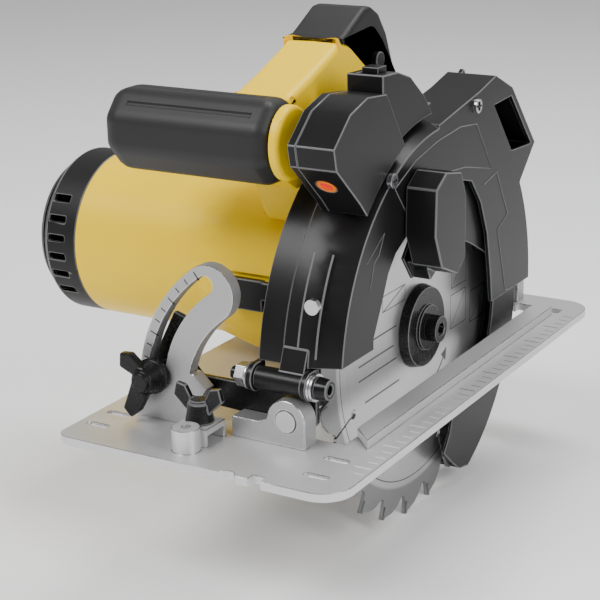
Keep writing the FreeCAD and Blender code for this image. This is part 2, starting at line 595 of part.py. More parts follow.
def flanges():
    at = (AY, AZ)
    face_in = add(BX, "-dims.blade_body / 2")
    face_out = add(BX, "dims.blade_body / 2")
    disc = rod("inner_flange_disc", "x", at, (add(face_in, -3), face_in), "dims.flange_radius")
    hub = rod("inner_flange_hub", "x", at, (add(face_in, -6.5), add(face_in, -2.5)), "12.5")
    keep(cut("inner_flange", fuse("inner_flange_solid", disc, hub),
             rod("inner_flange_bore", "x", at, ("15", face_out), "dims.spindle_radius"),
             rod("inner_flange_pilot", "x", at, (add(face_in, -0.5), face_out),
                 "dims.blade_bore / 2")))
    out_end = add(face_out, "dims.flange_thick")
    rim = taper("outer_flange_rim", "x", at, (face_out, add(face_out, 5)), "dims.flange_radius",
                "dims.flange_radius - 1.2")
    boss = rod("outer_flange_boss", "x", at, (add(face_out, 4.5), out_end), "11")
    keep(cut("outer_flange", fuse("outer_flange_solid", rim, boss),
             rod("outer_flange_bore", "x", at, (face_in, add(out_end, 1)), "4"),
             rod("outer_flange_recess", "x", at, (face_in, add(face_out, 2)),
                 "dims.blade_bore / 2")))
    shank = rod("blade_bolt_shank", "x", at, ("12", add(out_end, 0.5)), "4")
    head = rod("blade_bolt_head", "x", at, (out_end, add(out_end, 6)), "6.4")
    corners = [polar(at, "3.5", "%d" % (60 * i)) for i in range(6)]
    socket = outline("blade_bolt_socket", "yz", (add(out_end, 2), add(out_end, 7)), corners)
    keep(cut("blade_bolt", fuse("blade_bolt_solid", shank, head), socket))


def saw_blade():
    """The toothed disc. It turns clockwise seen from +X, so the lowest teeth move forward."""
    radius = value("dims.blade_diameter / 2")
    teeth = int(value("dims.blade_teeth"))
    body = value("dims.blade_body")
    kerf = value("dims.blade_kerf")
    x = value(BX) - body / 2
    centre = V(x, value(AY), value(AZ))
    pitch = 360.0 / teeth
    back = ((0.0, -0.7), (0.14, -1.6), (0.4, -3.4), (0.62, -6.4), (0.76, -9.6), (0.86, -10.4),
            (0.94, -9.4), (0.955, -6.2))
    points = []
    for i in range(teeth):
        for share, drop in back:
            angle = math.radians((i + share) * pitch + 7)
            r = radius + drop
            points.append(centre + V(0, r * math.cos(angle), r * math.sin(angle)))
    points.append(points[0])
    disc = Part.Face(Part.makePolygon(points)).extrude(V(body, 0, 0))
    disc = disc.cut(Part.makeCylinder(value("dims.blade_bore") / 2, 10, centre - V(2, 0, 0),
                                      V(1, 0, 0)))
    slot_out = radius - 8.5
    slot_in = radius - 27
    for i in range(4):
        angle = math.radians(i * 90 + 7 + pitch * 0.86)
        along_r = V(0, math.cos(angle), math.sin(angle))
        across = V(0, -math.sin(angle), math.cos(angle))
        start = centre + along_r * slot_in - across * 0.6 - V(1, 0, 0)
        slit = Part.makePolygon([start, start + across * 1.2,
                                 start + across * 1.2 + along_r * (slot_out - slot_in),
                                 start + along_r * (slot_out - slot_in), start])
        disc = disc.cut(Part.Face(slit).extrude(V(body + 2, 0, 0)))
        disc = disc.cut(Part.makeCylinder(2.4, body + 2, centre + along_r * slot_in - V(1, 0, 0),
                                          V(1, 0, 0)))
    keep(shaped("saw_blade", disc))
    tips = []
    for i in range(teeth):
        tip = Part.makeBox(kerf, 1.5, 6.2, V(x + body / 2 - kerf / 2, -1.55, radius - 6.6))
        tip.rotate(V(0, 0, 0), V(1, 0, 0), i * pitch + 7 - 90)
        tip.translate(V(0, centre.y, centre.z))
        tips.append(tip.cut(disc))
    keep(shaped("carbide_tips", Part.makeCompound(tips)))


def lower_guard():
    """The swinging guard: a rim between two cheeks, hung on the nose of the gear case."""
    at = (AY, AZ)
    left = "dims.lower_guard_left"
    right = "dims.lower_guard_right"
    r = "dims.lower_guard_radius"
    drum = rod("lower_drum", "x", at, (left, add(right, -5)), r)
    slope = taper("lower_slope", "x", at, (add(right, -5), right), r, "%s - 4" % r)
    void = rod("lower_void", "x", at, (add(left, 1.5), add(right, -5)), "%s - 1.8" % r)
    void_slope = taper("lower_void_slope", "x", at, (add(right, -5), add(right, -1.6)),
                       "%s - 1.8" % r, "%s - 4.9" % r)
    first, last = "-66", "98"
    mouth = rod("lower_mouth", "x", at, (add(right, -3), add(right, 1)), "66")
    wedge = [(AY, AZ), polar(at, "180", first), polar(at, "180", "-25"), polar(at, "180", "40"),
             polar(at, "180", last)]
    zone = outline("lower_zone", "yz", ("0", "60"), wedge)
    rim = common("lower_rim", cut("lower_shell", fuse("lower_solid", drum, slope), void,
                                  void_slope, mouth), zone)
    hub = rod("lower_hub", "x", at, (left, add(left, 1.6)), "dims.hub_radius + 6")
    cheek = (add(right, -1.6), right)
    toe = [polar(at, radius, angle) for radius, angle in (
        (56, -69.5), (63, -75), (69.5, -81.5), (79, -76), (87.4, -71.8), (93.4, -66),
        (93.4, -50), (70, -45), (60, -58))]
    toes = [outline("lower_toe%d" % i, "yz", span, toe)
            for i, span in enumerate((cheek, (left, add(left, 1.5))))]
    web = outline("lower_web", "yz", cheek, [polar(at, radius, angle) for radius, angle in (
        (55, 128), (40, 128), (40, 104), (42, 80), (45, 60), (50, 40), (68, 15), (80, 15),
        (80, 45), (80, 75), (78, 98), (60, 112))])
    bore = rod("lower_hub_bore", "x", at, ("10", add(left, 4)),
               "dims.hub_radius + dims.running_fit")
    keep(cut("lower_guard", fuse("lower_guard_solid", rim, hub, web, *toes), bore))


def lower_guard_lever():
    """The retracting lever that reaches out through the guard's window."""
    at = (AY, AZ)
    arm = outline("lever_arm", "yz", ("dims.lower_guard_right", "52"), [
        polar(at, radius, angle) for radius, angle in (
            (40, 127), (40, 106), (52, 106), (52, 127))])
    knob = outline("lever_knob", "yz", (add(FACE, 0.8), add(FACE, 16)), [
        ("-27", "68"), ("-11", "61"), ("-3", "67"), ("-3", "97"), ("-8", "108"),
        ("-23", "111"), ("-33", "105"), ("-34", "84")])
    keep(fuse("lower_guard_lever", arm, knob))


# ---------------------------------------------------------------- gear case

def gear_case():
    at = (AY, AZ)
    motor = (MY, MZ)
    left = "dims.gear_case_left"
    flange = rod("case_flange", "x", motor, (left, add(left, 9)), "dims.flare_radius - 2.5")
    drop = taper("case_drop", "x", motor, (add(left, 9), "10"), "dims.flare_radius - 3", "38")
    crown = taper("case_crown", "x", motor, ("10", WALL), "38", "30")
    lobe = rod("case_lobe", "x", at, ("-14.5", WALL), "27.6")
    nose = rod("case_nose", "x", at, (add(WALL, -1), add(WALL, 4.4)), "dims.hub_radius - 3")
    collar = rod("case_collar", "x", at, (add(WALL, "dims.guard_wall"), add(WALL, 4.4)),
                 "dims.hub_radius")
    solid = fuse("case_solid", flange, drop, crown, lobe, nose, collar)
    plane = block("case_under", ("-40", "-5.2"), ("-60", "60"), ("-20", "4.8"))
    wheel = rod("case_wheel_room", "x", at, ("-4", "9.6"), "24.8")
    pinion = rod("case_pinion_room", "x", motor, ("-4", "9.6"), "9")
    shaft = rod("case_shaft_hole", "x", motor, ("-20", "0"), "4.5")
    front = rod("case_bearing_front", "x", at, ("9", "19.8"), "17.5")
    neck = rod("case_neck", "x", at, ("19", "30"), "9.2")
    rear = rod("case_bearing_rear", "x", at, ("-12.2", "-3"), "11")
    tail = rod("case_tail", "x", at, ("-13", "-12"), "4.5")
    motor_seat = rod("case_motor_seat", "x", motor, (add(left, -1), "-9"), "9.5")
    lighten = tube("case_lighten", "x", motor, (add(left, -1), "-10"), "36", "14")
    spare = cut("case_pockets", lighten, rod("case_pocket_keep", "x", at, ("-30", "0"), "15"))
    screws = []
    wells = []
    for i, angle in enumerate((35, 145, 200, 340)):
        place = polar(motor, "39.5", "%d" % angle)
        screws.append(rod("case_screw%d" % i, "x", place, (add(left, 9), add(left, 12)), "3"))
        wells.append(rod("case_well%d" % i, "x", place, (add(left, 9), "18"), "3.4"))
    keep(cut("gear_case", solid, plane, wheel, pinion, shaft, front, neck, rear, tail,
             motor_seat, spare, *wells))
    keep(group("gear_case_screws", *screws))


# ---------------------------------------------------------------- motor

def motor():
    at = (MY, MZ)
    left = "dims.motor_end"
    right = "dims.gear_case_left"
    r = "dims.motor_radius"
    w = "dims.motor_wall"
    barrel = rod("housing_barrel", "x", at, (left, right), r)
    flare = taper("housing_flare", "x", at, ("-62", "-40"), r, "dims.flare_radius")
    collar = rod("housing_collar", "x", at, ("-40", "7.5"), "dims.flare_radius")
    skirt = rod("housing_skirt", "x", at, (right, "9"), "dims.flare_radius - 2.5")
    lobe = rod("housing_lobe_room", "x", (AY, AZ), (right, "9"), "28")
    bore = rod("housing_bore", "x", at, (add(left, -1), "-48"), "%s - %s" % (r, w))
    mouth = rod("housing_mouth", "x", at, ("-49", add(right, 1)), "dims.flare_radius - 6")
    pad_room = block("housing_pad_room", ("-39.5", "-5"), ("-60", "-44.6"), ("41", "58"))
    solid = fuse("housing_solid", barrel, flare, collar)
    keep(cut("motor_housing", solid, bore, mouth, skirt, lobe, pad_room))
    end = "dims.cap_end"
    body = rod("cap_body", "x", at, (add(end, 9), left), r)
    dome = taper("cap_dome", "x", at, (end, add(end, 9)), "%s - 7" % r, r)
    room = rod("cap_room", "x", at, (add(end, 3), add(left, 1)), "%s - %s" % (r, w))
    slots = []
    for i in range(6):
        for j, side in enumerate((-1, 1)):
            z = "%s + (%s)" % (MZ, 24 - 9.5 * i)
            span_y = ("%s + (%s)" % (MY, 0 if side > 0 else -60),
                      "%s + (%s)" % (MY, 60 if side > 0 else 0))
            slots.append(block("cap_slot%d_%d" % (i, j), (add(end, 10), add(end, 20)), span_y,
                               (add(z, -1.7), add(z, 1.7))))
    seat = tube("cap_bearing_seat", "x", at, (add(end, 2), add(end, 10)), "12", "9.5")
    keep(fuse("motor_cap", cut("cap_shell", fuse("cap_solid", body, dome), room, *slots), seat))
    shaft = rod("armature_bar", "x", at, (add(end, 3.5), "8"), "4")
    keep(shaft)
    shaft.Label = "armature_shaft"
    keep(shaped("motor_pinion", gear_shape(
        int(value("dims.pinion_teeth")), value("dims.gear_module"), value("dims.gear_width"), 4,
        V(-2, value(MY), value(MZ)), pinion_turn())))
    keep(tube("rotor_core", "x", at, ("-110", "-62"), "26", "4"))
    keep(tube("commutator", "x", at, ("-135", "-117"), "12", "4"))
    hub = tube("fan_hub", "x", at, ("-57", "-45"), "10", "4")
    disc = tube("fan_disc", "x", at, ("-47", "-45"), "36", "9")
    blades = []
    for i in range(9):
        blade = doc.addObject("Part::Box", "fan_blade%d" % i)
        blade.Length = 9
        blade.Width = 1.2
        blade.Height = 26
        turn = FreeCAD.Rotation(V(1, 0, 0), 40 * i)
        blade.Placement = FreeCAD.Placement(turn.multVec(V(-55, -0.6, 9.5)), turn)
        for letter, centre in (("y", MY), ("z", MZ)):
            offset = getattr(blade.Placement.Base, letter)
            bind(blade, "Placement.Base." + letter, "%s + (%.6f)" % (centre, offset))
        blades.append(blade)
    keep(fuse("cooling_fan", hub, disc, *blades))
    keep(tube("stator", "x", at, ("-112", "-60"), "%s - %s - 0.1" % (r, w), "27"))
    keep(group("motor_bearings",
               tube("motor_bearing_front", "x", at, (add(right, 0.6), "-9.2"), "9.5", "4"),
               tube("motor_bearing_rear", "x", at, (add(end, 3.6), add(end, 9.6)), "9.5", "4")))
    holders = []
    brushes = []
    for i, side in enumerate((-1, 1)):
        holder = (("%s + 12.8" % MY, "%s + 36" % MY) if side > 0
                  else ("%s - 36" % MY, "%s - 12.8" % MY))
        inner = (("%s + 12.3" % MY, "%s + 26" % MY) if side > 0
                 else ("%s - 26" % MY, "%s - 12.3" % MY))
        case = block("brush_case%d" % i, ("-131", "-121"), holder, (add(MZ, -6), add(MZ, 6)))
        room = block("brush_room%d" % i, ("-129", "-123"),
                     (add(holder[0], -1), add(holder[1], 1)), (add(MZ, -3.5), add(MZ, 3.5)))
        holders.append(cut("brush_holder%d" % i, case, room))
        brushes.append(block("brush%d" % i, ("-129", "-123"), inner,
                             (add(MZ, -3.5), add(MZ, 3.5))))
    keep(group("brush_holders", *holders))
    keep(group("carbon_brushes", *brushes))


def spindle_lock():
    pad = block("lock_pad", ("-38.5", "-18"), (add(MY, -52), add(MY, -48.2)), ("42", "57"))
    arm = block("lock_arm", ("-19", "-6"), (add(MY, -52), add(MY, -48.6)), ("48", "56.5"))
    keep(fuse("spindle_lock_button", pad, arm))


# ---------------------------------------------------------------- handles

def handles():
    outer = [("-29.5", "66.5"), ("-41.5", "87"), ("-51", "105.5"), ("-66", "134"),
             ("-70.5", "142"), ("-64", "146"), ("-43.5", "153"), ("-23", "161"), ("-8.5", "168.5"),
             ("5.5", "176"), ("12", "176.5"), ("20", "172"), ("27.5", "162"), ("35.5", "143.5"),
             ("61", "107.5"), ("74", "86"), ("68", "64"), ("48", "52")]
    hole = [("-19", "103.5"), ("-25", "115.5"), ("-23", "124"), ("-11", "134"), ("3.5", "141.5"),
            ("12", "139"), ("38.5", "104"), ("32.5", "100"), ("-13", "100")]
    x = ("dims.handle_left", "dims.handle_right")
    body = outline("handle_outside", "yz", x, outer)
    loop = outline("handle_loop", "yz", (add(x[0], -1), add(x[1], 1)), hole)
    housing = rod("handle_saddle", "x", (MY, MZ), ("-40", "60"), "dims.flare_radius + 2.1")
    pad = outline("grip_zone", "yz", (add(x[0], -1), add(x[1], 1)), [
        ("-16", "162.5"), ("-19", "172"), ("7.5", "187.5"), ("49", "162"), ("71.5", "115.5"),
        ("54", "113"), ("29.5", "146"), ("20", "158"), ("12", "165"), ("-2.5", "162.5")])
    bar_room = front_bar("handle_bar_room", (add(x[0], -1), add(x[1], 1)))
    frame = cut("handle_frame", body, loop, housing, bar_room)
    seam = "dims.handle_seam"
    switch_room = outline("switch_room", "yz", (add(seam, -9), add(seam, 9)), [
        ("14", "144"), ("4", "150"), ("11", "160"), ("20", "156"), ("52", "111"), ("64", "87"),
        ("52", "78"), ("42.5", "100")])
    trigger_room = outline("trigger_room", "yz", (add(seam, -7), add(seam, 7)), [
        ("-1", "138"), ("13", "152"), ("20", "148"), ("35", "124"), ("22", "110")])
    button_room = rod("button_room", "x", ("15", "151"), (seam, "40"), "4.4")
    gland_room = rod("gland_room", "y", (seam, "76"), ("50", "90"), "6")
    hollow = cut("handle_hollow", frame, pad, switch_room, trigger_room, button_room, gland_room)
    far = ("-120", "120")
    left_zone = block("handle_left_zone", ("-60", seam), far, ("0", "220"))
    right_zone = block("handle_right_zone", (seam, "60"), far, ("0", "220"))
    keep(common("handle_left_shell", hollow, left_zone))
    keep(common("handle_right_shell", hollow, right_zone))
    grip = common("soft_grip_solid", frame, pad)
    keep(cut("soft_grip", grip, switch_room))
    keep(outline("trigger", "yz", (add(seam, -6.6), add(seam, 6.6)), [
        ("6.5", "133"), ("12", "144"), ("18", "142"), ("30", "123"), ("21", "114"),
        ("13", "117")]))
    keep(rod("lock_off_button", "x", ("15", "151"), (add(seam, 9.5), add(x[1], 3)), "4"))
    keep(outline("power_switch", "yz", (add(seam, -8.6), add(seam, 8.6)), [
        ("31", "135"), ("49.5", "109"), ("45", "104"), ("36", "124")]))
    keep(rod("cable_gland", "y", (seam, "76"), ("58", "90"), "6"))
    screws = []
    for i, (y, z) in enumerate(((-40, 125), (-4, 154), (46, 118), (62, 84))):
        screws.append(rod("handle_screw%d" % i, "x", (y, z),
                          (add(x[0], -1.2), add(x[0], 0)), "3.2"))
    keep(group("handle_screws", *screws))


def front_bar(name, span, share=1.0):
    """A bar with the front handle's eight-sided section."""
    y, z = "dims.grip_y", "dims.grip_z"
    corners = []
    for a, b in ((0, 1), (0.72, 0.76), (1, 0), (0.72, -0.76), (0, -1), (-0.72, -0.76), (-1, 0),
                 (-0.72, 0.76)):
        corners.append(("%s + dims.grip_deep / 2 * (%.4f)" % (y, a * share),
                        "%s + dims.grip_high / 2 * (%.4f)" % (z, b * share)))
    return outline(name, "yz", span, corners)


def front_handle():
    """The front handle: a rubber grip over a moulded core that stands off the main handle."""
    left = "dims.grip_left"
    right = "dims.grip_right"
    y, z = "dims.grip_y", "dims.grip_z"
    rubber = front_bar("grip_rubber", (left, add(right, -3)))
    core = block("core_bar", (add(left, 12), right), (add(y, -8), add(y, 8)),
                 (add(z, -10), add(z, 10)))
    cap = front_bar("core_cap", (add(right, -3), add(right, 1.5)), 0.86)
    stem = outline("core_stem", "yz", ("-18", "6"), [
        (add(y, -2), add(z, -14)), (add(y, 14), add(z, -24)), (add(y, 50), add(z, -24)),
        (add(y, 50), add(z, 8)), (add(y, 8), add(z, 8))])
    leg = outline("core_leg_face", "yz", ("-60", "60"), [
        ("-29.5", "66.5"), ("-41.5", "87"), ("-51", "105.5"), ("-66", "134"), ("-70.5", "142"),
        ("-64", "146"), ("60", "160"), ("60", "60")])
    bar = front_bar("core_leg_bar", ("-60", "60"))
    behind = cut("core_leg", leg, bar)
    solid = fuse("core_solid", core, cap, stem)
    keep(cut("front_handle_core", solid, behind))
    room = front_bar_room(left, right)
    keep(cut("front_handle_grip", rubber, room))


def front_bar_room(left, right):
    """The room the core takes inside the rubber grip."""
    y, z = "dims.grip_y", "dims.grip_z"
    core = block("room_bar", (add(left, 12), right), (add(y, -8), add(y, 8)),
                 (add(z, -10), add(z, 10)))
    stem = outline("room_stem", "yz", ("-18", "6"), [
        (add(y, -2), add(z, -14)), (add(y, 14), add(z, -24)), (add(y, 50), add(z, -24)),
        (add(y, 50), add(z, 8)), (add(y, 8), add(z, 8))])
    return fuse("grip_room", core, stem)


# ---------------------------------------------------------------- depth lock

def depth_lock():
    at = (LOCK_Y, LOCK_Z)
    keep(rod("depth_lock_bolt", "x", at, ("5", "%s + dims.guard_wall" % WALL), "dims.depth_lock"))
    hub = rod("lock_lever_hub", "x", at, ("7", "%s - 3.3" % WALL), "8.5")
    arm = outline("lock_lever_arm", "yz", ("6", "11"), [
        (add(LOCK_Y, -5), add(LOCK_Z, 4)), (add(LOCK_Y, 5), add(LOCK_Z, 5)),
        (add(LOCK_Y, 9), add(LOCK_Z, 44)), (add(LOCK_Y, 5), add(LOCK_Z, 50)),
        (add(LOCK_Y, -2), add(LOCK_Z, 50)), (add(LOCK_Y, -5), add(LOCK_Z, 44))])
    bore = rod("lock_lever_bore", "x", at, ("0", "30"), "dims.depth_lock + dims.running_fit")
    keep(cut("depth_lock_lever", fuse("lock_lever_solid", hub, arm), bore))


base_plate()
lugs()
quadrant()
fence_wing_screw()
front_tilt_bracket()
depth_pivot_bolt()
depth_arc()
bevel_wing_bolt()
upper_guard()
guard_screws()
laser_unit()
laser_switch()
spindle()
flanges()
saw_blade()
lower_guard()
lower_guard_lever()
gear_case()
motor()
spindle_lock()
handles()
front_handle()
depth_lock()
doc.recompute()

failed = [thing.Name for thing in doc.Objects
          if "Invalid" in thing.State or "Error" in thing.State]
if failed:
    raise RuntimeError("these objects failed: " + ", ".join(failed))
for thing in nodes:
    if thing.Shape.isNull() or not thing.Shape.isValid() or not thing.Shape.Solids:
        raise RuntimeError("bad shape: " + thing.Label)

os.makedirs("parts", exist_ok=True)
for thing in nodes:
    thing.Shape.exportStep("parts/%s.step" % thing.Label)
print(len(nodes), "sub-parts written")
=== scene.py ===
"""Hand-held circular saw: rounded edges, grips, ribs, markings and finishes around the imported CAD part."""
import json
import math

import bpy
from mathutils import Matrix, Vector


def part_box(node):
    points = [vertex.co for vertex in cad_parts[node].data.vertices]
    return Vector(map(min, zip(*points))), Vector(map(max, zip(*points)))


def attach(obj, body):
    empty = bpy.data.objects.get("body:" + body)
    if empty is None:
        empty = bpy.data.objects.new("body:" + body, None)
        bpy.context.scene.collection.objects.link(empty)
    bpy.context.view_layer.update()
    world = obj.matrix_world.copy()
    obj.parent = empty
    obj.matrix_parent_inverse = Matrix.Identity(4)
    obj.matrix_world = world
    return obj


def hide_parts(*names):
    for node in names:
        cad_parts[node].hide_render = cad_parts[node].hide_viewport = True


MM = 0.001
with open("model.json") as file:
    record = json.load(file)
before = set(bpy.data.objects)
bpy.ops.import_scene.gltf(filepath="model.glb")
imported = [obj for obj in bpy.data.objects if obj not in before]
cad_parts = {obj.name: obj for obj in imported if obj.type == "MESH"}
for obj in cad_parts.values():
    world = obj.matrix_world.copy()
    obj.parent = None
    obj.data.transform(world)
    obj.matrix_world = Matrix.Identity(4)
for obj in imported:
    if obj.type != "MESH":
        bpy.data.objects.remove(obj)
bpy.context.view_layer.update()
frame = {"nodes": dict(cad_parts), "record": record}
BODY_OF = {node: body for body, nodes in frame["record"]["behaviour"]["bodies"].items() for node in nodes}

# ------------------------------------------------------------ places taken from the frame
blade_low, blade_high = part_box("saw_blade")
ARBOR = (blade_low + blade_high) / 2
BLADE_RADIUS = (blade_high.z - blade_low.z) / 2
PLATE_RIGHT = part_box("base_plate")[1].x
PLATE_TOP = 4 * MM
grip_low, grip_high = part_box("front_handle_grip")
knob_low, knob_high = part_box("lower_guard_lever")
QUADRANT_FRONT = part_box("bevel_quadrant")[0].y
TILT_AXIS = Vector((26.5, 0, 15.7)) * MM
GUARD_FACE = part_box("upper_guard")[1].x / MM
SCREW_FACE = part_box("guard_screws")[1].x


# ------------------------------------------------------------ shader arithmetic
class Value:
    """A shader socket that takes part in Python expressions."""

    def __init__(self, finish, socket):
        self.finish = finish
        self.socket = socket

    def math(self, operation, *values, clamp=False):
        return self.finish.node("ShaderNodeMath", {"operation": operation, "use_clamp": clamp},
                                dict(enumerate(values)))

    def __add__(self, other):
        return self.math("ADD", self, other)

    __radd__ = __add__

    def __sub__(self, other):
        return self.math("SUBTRACT", self, other)

    def __rsub__(self, other):
        return self.math("SUBTRACT", other, self)

    def __mul__(self, other):
        return self.math("MULTIPLY", self, other)

    __rmul__ = __mul__

    def __truediv__(self, other):
        return self.math("DIVIDE", self, other)

    def __gt__(self, other):
        return self.math("GREATER_THAN", self, other)

    def __lt__(self, other):
        return self.math("LESS_THAN", self, other)

    def __abs__(self):
        return self.math("ABSOLUTE", self)

    def between(self, low, high):
        return (self > low) * (self < high)

    def near(self, middle, half_width):
        return abs(self - middle) < half_width

    def ramp(self, low, high):
        """0 below low, 1 above high and even between them."""
        span = (self - low) / (high - low)
        return span.math("ADD", span, 0.0, clamp=True)


class Finish:
    """One material: a Principled shader whose sockets are fed from Values."""

    def __init__(self, name, **constants):
        self.material = bpy.data.materials.new(name)
        self.material.use_nodes = True
        self.tree = self.material.node_tree
        self.shader = self.tree.nodes["Principled BSDF"]
        for socket, value in constants.items():
            self.shader.inputs[socket.replace("_", " ")].default_value = value

    def feed(self, socket, value):
        if isinstance(value, Value):
            self.tree.links.new(value.socket, socket)
        else:
            socket.default_value = value

    def node(self, kind, settings, inputs, output=0):
        made = self.tree.nodes.new(kind)
        for name, value in settings.items():
            setattr(made, name, value)
        for name, value in inputs.items():
            self.feed(made.inputs[name], value)
        return Value(self, made.outputs[output])

    def place(self):
        return self.node("ShaderNodeTexCoord", {}, {}, "Object")

    def axes(self):
        split = self.tree.nodes.new("ShaderNodeSeparateXYZ")
        self.feed(split.inputs[0], self.place())
        return [Value(self, output) for output in split.outputs]

    def vector(self, x, y, z):
        return self.node("ShaderNodeCombineXYZ", {}, {"X": x, "Y": y, "Z": z})

    def noise(self, scale, detail=3.0, at=None, roughness=0.55):
        return self.node("ShaderNodeTexNoise", {},
                         {"Vector": at or self.place(), "Scale": scale, "Detail": detail,
                          "Roughness": roughness})

    def mix(self, first, second, factor):
        return self.node("ShaderNodeMix", {"data_type": "RGBA"},
                         {0: factor, 6: first, 7: second}, 2)

    def colour(self, value):
        self.feed(self.shader.inputs["Base Color"], value)

    def rough(self, value):
        self.feed(self.shader.inputs["Roughness"], value)

    def bump(self, height, strength, distance=0.0002):
        normal = self.node("ShaderNodeBump", {},
                           {"Height": height, "Strength": strength, "Distance": distance}, "Normal")
        self.feed(self.shader.inputs["Normal"], normal)


def rgb(red, green, blue):
    return (red, green, blue, 1.0)


# ------------------------------------------------------------ finishes
def yellow_moulding():
    finish = Finish("yellow_moulding", Coat_Roughness=0.25, Specular_IOR_Level=0.18)
    cloud = finish.noise(14, 3)
    grain = finish.noise(1500, 2)
    finish.colour(finish.mix(rgb(0.93, 0.60, 0.0), rgb(0.98, 0.66, 0.0), cloud))
    finish.rough(0.27 + grain * 0.10 + cloud * 0.06)
    finish.feed(finish.shader.inputs["Coat Weight"], 0.05)
    finish.bump(grain + cloud * 0.6, 0.12)
    return finish.material


def black_moulding(name="black_moulding", shade=0.005, gloss=0.22, grain_size=1800, depth=0.14):
    finish = Finish(name, Specular_IOR_Level=0.22)
    cloud = finish.noise(25, 4)
    grain = finish.noise(grain_size, 2)
    finish.colour(finish.mix(rgb(shade, shade, shade * 1.05), rgb(shade * 1.7, shade * 1.7, shade * 1.75),
                             cloud))
    finish.rough(gloss + grain * 0.12 + cloud * 0.06)
    finish.bump(grain + cloud * 0.4, depth)
    return finish.material


def soft_black():
    finish = Finish("soft_black_rubber", IOR=1.45)
    cloud = finish.noise(30, 4)
    grain = finish.noise(2600, 3)
    finish.colour(finish.mix(rgb(0.005, 0.005, 0.0055), rgb(0.014, 0.014, 0.0145), cloud * 0.6 + grain * 0.3))
    finish.rough(0.46 + grain * 0.18 - cloud * 0.08)
    finish.bump(grain, 0.35)
    return finish.material


def plate_metal():
    """Rolled plate with a fine grain along it and graduations along the right edge; its lit rims come from
    the zinc finish that eased() gives the rounded edges.
    """
    finish = Finish("rolled_plate", Metallic=0.6)
    x, y, z = finish.axes()
    grain = finish.noise(60, 5, finish.vector(x * 30, y * 1.2, z * 30))
    cloud = finish.noise(18, 3)
    base = finish.mix(rgb(0.54, 0.54, 0.545), rgb(0.70, 0.70, 0.705), grain * 0.7 + cloud * 0.3)
    inch = 25.4 * MM
    first = 83.4 * MM
    lead = first + 40 * inch
    turn = (y + lead) / (inch / 4)
    tooth = turn.math("FRACT", turn)
    whole = (y + lead) / inch
    major = whole.math("FRACT", whole)
    right = PLATE_RIGHT
    short = (tooth < 0.10) * x.between(right - 6.5 * MM, right - 1.6 * MM)
    tall = (major < 0.03) * x.between(right - 9.5 * MM, right - 1.6 * MM)
    line = short.math("MAXIMUM", short, tall) * (z > PLATE_TOP - 0.4 * MM) * (z < PLATE_TOP + 0.3 * MM)
    line = line * y.between(-115 * MM, 118 * MM)
    tone = finish.mix(rgb(0.95, 0.95, 0.95), rgb(0.05, 0.05, 0.05), y.ramp(-40 * MM, -10 * MM))
    finish.colour(finish.mix(base, tone, line * 0.85))
    finish.rough(0.38 + grain * 0.14 + line * 0.2)
    finish.bump(grain + cloud * 0.5 - line, 0.10)
    return finish.material


def cast_metal(name, low, high, roughness, metallic=0.75):
    finish = Finish(name, Metallic=metallic)
    cloud = finish.noise(40, 4)
    grain = finish.noise(900, 4)
    finish.colour(finish.mix(rgb(*[low] * 3), rgb(*[high] * 3), cloud * 0.5 + grain * 0.5))
    finish.rough(roughness + grain * 0.16)
    finish.bump(grain + cloud, 0.28)
    return finish.material


def bright_metal(name, colour, roughness, axis="x"):
    """Turned or plated metal with fine marks round the given axis."""
    finish = Finish(name, Metallic=1.0)
    x, y, z = finish.axes()
    along = {"x": (x * 40, y, z), "y": (x, y * 40, z), "z": (x, y, z * 40)}[axis]
    grain = finish.noise(120, 4, finish.vector(*along))
    cloud = finish.noise(60, 3)
    darker = rgb(*[channel * 0.72 for channel in colour])
    finish.colour(finish.mix(darker, rgb(*colour), grain * 0.6 + cloud * 0.4))
    finish.rough(roughness + grain * 0.14)
    finish.bump(grain, 0.12)
    return finish.material


